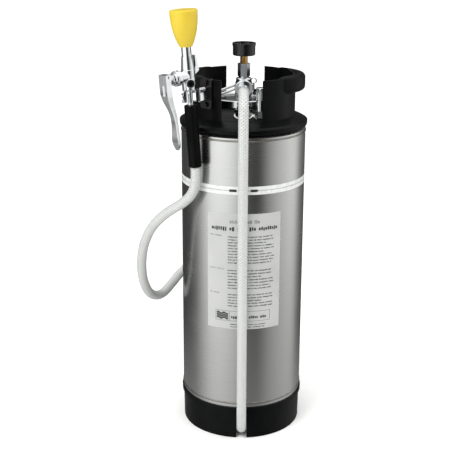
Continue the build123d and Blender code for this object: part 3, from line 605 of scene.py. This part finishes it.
def yellowCap():
    # injection-moulded polyethylene: waxy yellow that lets a little light into its thin wall
    made, tree, shader = newMaterial("mouldedYellowPolyethylene", ior=1.5, scatter=0.12, scatterScale=0.004)
    shader.inputs["Subsurface Radius"].default_value = (1.0, 0.8, 0.2)
    flow = grain(tree, capPlastic["moundMm"], 2, (1, 1, 0.3))
    shade = tint(tree, spread(tree, flow, 0, 1), capPlastic["dark"], capPlastic["light"])
    feed(tree, shader, "Base Color", shade)
    feed(tree, shader, "Roughness", spread(tree, grain(tree, 5, 2), 0.36, 0.48))
    relief(tree, shader, grain(tree, 2.2, 2), 0.03, 0.3)
    return made


finishes = {
    "stainless": turnedStainless("pressedStainlessFitting", 0.2, 3.0),
    "black_rubber": mouldedRubber("mouldedNitrileRubber"),
    "soft_rubber": mouldedRubber("softGasketRubber", "#222625", 0.55),
    "chrome": chromePlate(),
    "zinc_steel": zincPlate(),
    "brass": turnedBrass(),
    "gauge_black": blackEnamel(),
    "dial_white": printedDial(),
    "needle_black": matInk("mattBlackNeedleInk", "#0b0b0b", "#1a1a1a"),
    "clear_glass": clearLens(),
    "braided_hose": hosePiece.data.materials[0],
    "label_paper": labelVinyl(),
    "band_film": bandFilm(),
    "yellow_plastic": yellowCap(),
    "spring_steel": turnedStainless("drawnSpringWire", 0.28, 1.5),
}
satinSheet = satinStainless()
ink = matInk("blackScreenInk", "#1c1d1e", "#303132")
greyInk = matInk("greyScreenInk", "#6c6e70", "#8b8d8f")


def dressNodes():  # each CAD node takes the finish that the record names for it
    slotOf = {entry["node"]: entry["material_slot"] for entry in frame["record"]["subparts"]}
    for name, node in nodes.items():
        slotName = slotOf[name]
        made = satinSheet if name in ("tank_shell", "top_head", "bottom_head") else finishes[slotName]
        node.data.materials.clear()
        node.data.materials.append(made)


dressNodes()
print("CAD nodes finished in", len(finishes) + 1, "materials")


# print on the label, band and dial: generic bars and blocks instead of lettering
label = {
    "radius": 108.25,  # sizes in mm, places round the tank in degrees
    "inkThick": 0.06,
    "letterWide": (0.9, 1.7),
    "tops": (0.5, 0.5, 0.28, 0.28, 0.28),  # how far letters reach above and below their middle
    "feet": (0.5, 0.5, 0.5, 0.5, 0.72),
    "letterGap": 0.45,
    "wordGap": 1.7,
    "heading": (407.0, 6.0, -14.5, 14.3),  # middle height, letter height, degrees from and to
    "title": (394.7, 6.0, -31.7, 30.2),
    "sections": [(381.8, -33.5, -21.8), (322.0, -33.5, -19.3), (277.6, -33.5, -23.0)],
    "paragraphs": [(380.3, 10, 5.16), (319.9, 7, 5.4), (275.8, 5, 5.2)],  # first line, lines, step
    "bodyReach": (-16.1, 27.5),
    "bodyHigh": 2.1,
    "smallShare": 0.8,  # letter heights as a share of the body's
    "sectionShare": 1.2,
    "box": (-27.7, 23.7, 226.7, 245.3),
    "divider": -14.5,
    "boxLine": 0.5,
    "name": (234.5, 5.0, -12.9, 21.6),
    "small": [(220.5, -13.7, 20.0), (216.0, -13.7, 20.0)],
    "waves": 3,
    "waveReach": (0.08, 0.84),  # start and width, as shares of the cell
    "wavePlace": (0.27, 0.23),  # lowest wave and the step up, as shares of the box's height
    "waveTurns": 2,
    "waveOverlap": 1.05,
    "waveSteps": 24,
    "waveRise": 1.3,
    "waveHalf": 1.7,
    "bigLetters": 2.4,  # how much broader than the small print
    "nameLetters": 2.2,
    "headingLetters": 2.0,
    "seed": 7,
}
band = {
    "radius": 108.2,
    "middle": 461.45,
    "dot": (1.7, 1.2),
    "dotStep": 3.4,
    "dotThick": 0.05,
    "bars": [(-15.0, -8.5), (4.0, 10.5)],  # degrees from and to, either side of the hose
    "barHalf": 2.2,
    "barThick": 0.06,
}


def onTank(degrees, radius, height):  # a point on the tank, counted from the front towards +X, in metres
    a = math.radians(degrees)
    return Vector((radius * math.sin(a), -radius * math.cos(a), height)) / 1000


def inkPatch(bm, radius, thick, fromDeg, toDeg, low, high):  # one raised block of ink bent round the tank
    steps = max(1, math.ceil((toDeg - fromDeg) / 2))
    rings = []
    for i in range(steps + 1):
        turn = fromDeg + (toDeg - fromDeg) * i / steps
        inner, outer = radius - thick, radius + thick
        corners = ((inner, low), (outer, low), (outer, high), (inner, high))
        rings.append([bm.verts.new(onTank(turn, r, z)) for r, z in corners])
    for a, b in zip(rings, rings[1:]):
        for k in range(4):
            bm.faces.new((a[k], a[(k + 1) % 4], b[(k + 1) % 4], b[k]))
    bm.faces.new(list(reversed(rings[0])))
    bm.faces.new(rings[-1])


def letterRow(bm, dice, middle, high, fromDeg, toDeg, scale=1.0):  # a row of words made of small blocks
    radius = label["radius"]
    perDeg = math.radians(1) * radius
    at = fromDeg * perDeg
    end = toDeg * perDeg
    while at < end:
        for _ in range(dice.randint(2, 9)):
            wide = dice.uniform(*label["letterWide"]) * scale
            if at + wide > end:
                return
            top = dice.choice(label["tops"])
            foot = dice.choice(label["feet"])
            inkPatch(
                bm,
                radius,
                label["inkThick"],
                at / perDeg,
                (at + wide) / perDeg,
                middle - high * foot,
                middle + high * top,
            )
            at += wide + label["letterGap"] * scale
        at += label["wordGap"] * scale


def printed(name, build, material):  # a mesh of ink that rides on the tank
    mesh = bpy.data.meshes.new(name)
    bm = bmesh.new()
    build(bm)
    bmesh.ops.recalc_face_normals(bm, faces=bm.faces)
    bm.to_mesh(mesh)
    bm.free()
    return linkPiece(name, mesh, "tank", material, smooth=False)


def blackText(bm):
    dice = random.Random(label["seed"])
    middle, high, fromDeg, toDeg = label["title"]
    letterRow(bm, dice, middle, high, fromDeg, toDeg, label["bigLetters"])
    for first, lines, step in label["paragraphs"]:
        for i in range(lines):
            reach = label["bodyReach"][1] - (dice.uniform(0, 14) if i % 3 == 2 else dice.uniform(0, 3))
            letterRow(bm, dice, first - i * step, label["bodyHigh"], label["bodyReach"][0], reach)
    middle, high, fromDeg, toDeg = label["name"]
    letterRow(bm, dice, middle, high, fromDeg, toDeg, label["nameLetters"])
    for middle, fromDeg, toDeg in label["small"]:
        letterRow(bm, dice, middle, label["bodyHigh"] * label["smallShare"], fromDeg, toDeg)
    labelBox(bm)


def labelBox(bm):  # the outlined box, with waves in its left cell to stand for water
    radius, thick = label["radius"], label["inkThick"]
    fromDeg, toDeg, low, high = label["box"]
    line = label["boxLine"]
    turn = math.degrees(line / radius)
    for bottom in (low, high - line):
        inkPatch(bm, radius, thick, fromDeg, toDeg, bottom, bottom + line)
    for edge in (fromDeg, label["divider"], toDeg - turn):
        inkPatch(bm, radius, thick, edge, edge + turn, low + line, high - line)
    cell = label["divider"] - fromDeg
    steps, half = label["waveSteps"], label["waveHalf"]
    start, width = label["waveReach"]
    lowest, climb = label["wavePlace"]
    for row in range(label["waves"]):
        for i in range(steps):
            lift = label["waveRise"] * math.sin(i / steps * label["waveTurns"] * 2 * math.pi)
            a = fromDeg + cell * (start + width * i / steps)
            b = fromDeg + cell * (start + width * (i + label["waveOverlap"]) / steps)
            z = low + (high - low) * (lowest + climb * row) + lift
            inkPatch(bm, radius, thick, a, b, z - half, z + half)


def greyText(bm):
    dice = random.Random(label["seed"] + 1)
    middle, high, fromDeg, toDeg = label["heading"]
    letterRow(bm, dice, middle, high, fromDeg, toDeg, label["headingLetters"])
    for middle, fromDeg, toDeg in label["sections"]:
        letterRow(bm, dice, middle, label["bodyHigh"] * label["sectionShare"], fromDeg, toDeg)


def bandMarks(bm):
    radius, middle = band["radius"], band["middle"]
    wide, high = math.degrees(band["dot"][0] / radius), band["dot"][1]
    count = round(2 * math.pi * radius / band["dotStep"])
    for i in range(count):
        turn = -180 + 360 * i / count
        inkPatch(bm, radius, band["dotThick"], turn, turn + wide, middle - high / 2, middle + high / 2)
    for fromDeg, toDeg in band["bars"]:
        low, high = middle - band["barHalf"], middle + band["barHalf"]
        inkPatch(bm, radius, band["barThick"], fromDeg, toDeg, low, high)


dialFace = {
    "centre": (-3.036, -59.923, 694.1),  # mm
    "turn": -2.9,
    "ticks": 31,
    "long": 5,  # every fifth tick is long
    "tick": (0.14, 1.8),  # half width and length
    "longTick": (0.28, 3.0),
    "number": (0.8, 8.2, 10.0),  # half width, then from and to, out from the centre
    "sink": 0.03,
    "inkThick": 0.08,
    "outer": 15.4,
    "start": 135,  # degrees, where the scale begins
    "sweep": 270,
    "arc": (0.3, 10.6, 11.3),
    "arcSteps": 90,
}


def dialBlock(bm, turn, halfWide, inner, outer):  # a small printed block on the dial, pointing at its rim
    x, y, z = dialFace["centre"]
    spin = Matrix.Rotation(math.radians(turn), 3, "Z")
    corners = ((-halfWide, inner), (halfWide, inner), (halfWide, outer), (-halfWide, outer))
    seat = Vector((x, y, z - dialFace["sink"]))  # sunk a little, so that it holds to the dial
    low = [bm.verts.new((spin @ Vector((u, v, 0)) + seat) / 1000) for u, v in corners]
    high = [bm.verts.new(v.co + Vector((0, 0, dialFace["inkThick"] / 1000))) for v in low]
    bm.faces.new(high)
    bm.faces.new(list(reversed(low)))
    for k in range(4):
        bm.faces.new((low[k], low[(k + 1) % 4], high[(k + 1) % 4], high[k]))


def dialPrint(bm):
    last = dialFace["ticks"] - 1
    for i in range(last + 1):
        turn = dialFace["turn"] + dialFace["start"] - dialFace["sweep"] * i / last
        big = i % dialFace["long"] == 0
        halfWide, reach = dialFace["longTick" if big else "tick"]
        dialBlock(bm, turn, halfWide, dialFace["outer"] - reach, dialFace["outer"])
        if big:
            dialBlock(bm, turn, *dialFace["number"])
    for i in range(dialFace["arcSteps"]):
        turn = dialFace["turn"] + dialFace["start"] - dialFace["sweep"] / dialFace["arcSteps"] * i
        dialBlock(bm, turn, *dialFace["arc"])


# welds: one rippled bead at each end of the wall, over the shell's own ring
bead = {
    "heights": {"lowWeldBead": 68.8, "highWeldBead": 545.2},  # mm, like everything here
    "ring": 108.35,
    "half": 0.95,
    "flat": 0.7,  # how far it stands out, as a share of half
    "broad": 1.3,
    "ripple": 0.14,
    "pitch": 2.6,
    "steps": 1080,
    "sides": 8,
}


def weldBead(name, height, material):
    mesh = bpy.data.meshes.new(name)
    bm = bmesh.new()
    count = round(2 * math.pi * bead["ring"] / bead["pitch"])
    rings = []
    for i in range(bead["steps"]):
        share = i / bead["steps"]
        wave = (share * count) % 1
        half = bead["half"] - bead["ripple"] * wave
        ring = []
        for k in range(bead["sides"]):
            a = 2 * math.pi * k / bead["sides"]
            out = bead["ring"] + half * bead["flat"] * math.cos(a)
            up = height + half * bead["broad"] * math.sin(a)
            ring.append(bm.verts.new(onTank(360 * share, out, up)))
        rings.append(ring)
    for i in range(len(rings)):
        ahead = rings[(i + 1) % len(rings)]
        for k in range(bead["sides"]):
            nextK = (k + 1) % bead["sides"]
            bm.faces.new((rings[i][k], rings[i][nextK], ahead[nextK], ahead[k]))
    bmesh.ops.recalc_face_normals(bm, faces=bm.faces)
    bm.to_mesh(mesh)
    bm.free()
    return linkPiece(name, mesh, "tank", material)


def weldMetal():
    # run of TIG weld, straw-brown to grey from its heat
    made, tree, shader = newMaterial("heatTintedWeldMetal", metallic=1.0, roughness=0.34)
    heat = grain(tree, 12, 3)
    feed(tree, shader, "Base Color", tint(tree, spread(tree, heat, 0, 1), "#8a8278", "#a9a6a1"))
    feed(tree, shader, "Roughness", spread(tree, heat, 0.3, 0.42))
    return made


printed("labelText", blackText, ink)
printed("labelHeadings", greyText, greyInk)
printed("bandMarks", bandMarks, ink)
printed("dialPrint", dialPrint, ink)
beadMetal = weldMetal()
for beadName, beadHeight in bead["heights"].items():
    weldBead(beadName, beadHeight, beadMetal)
print("print and welds added")
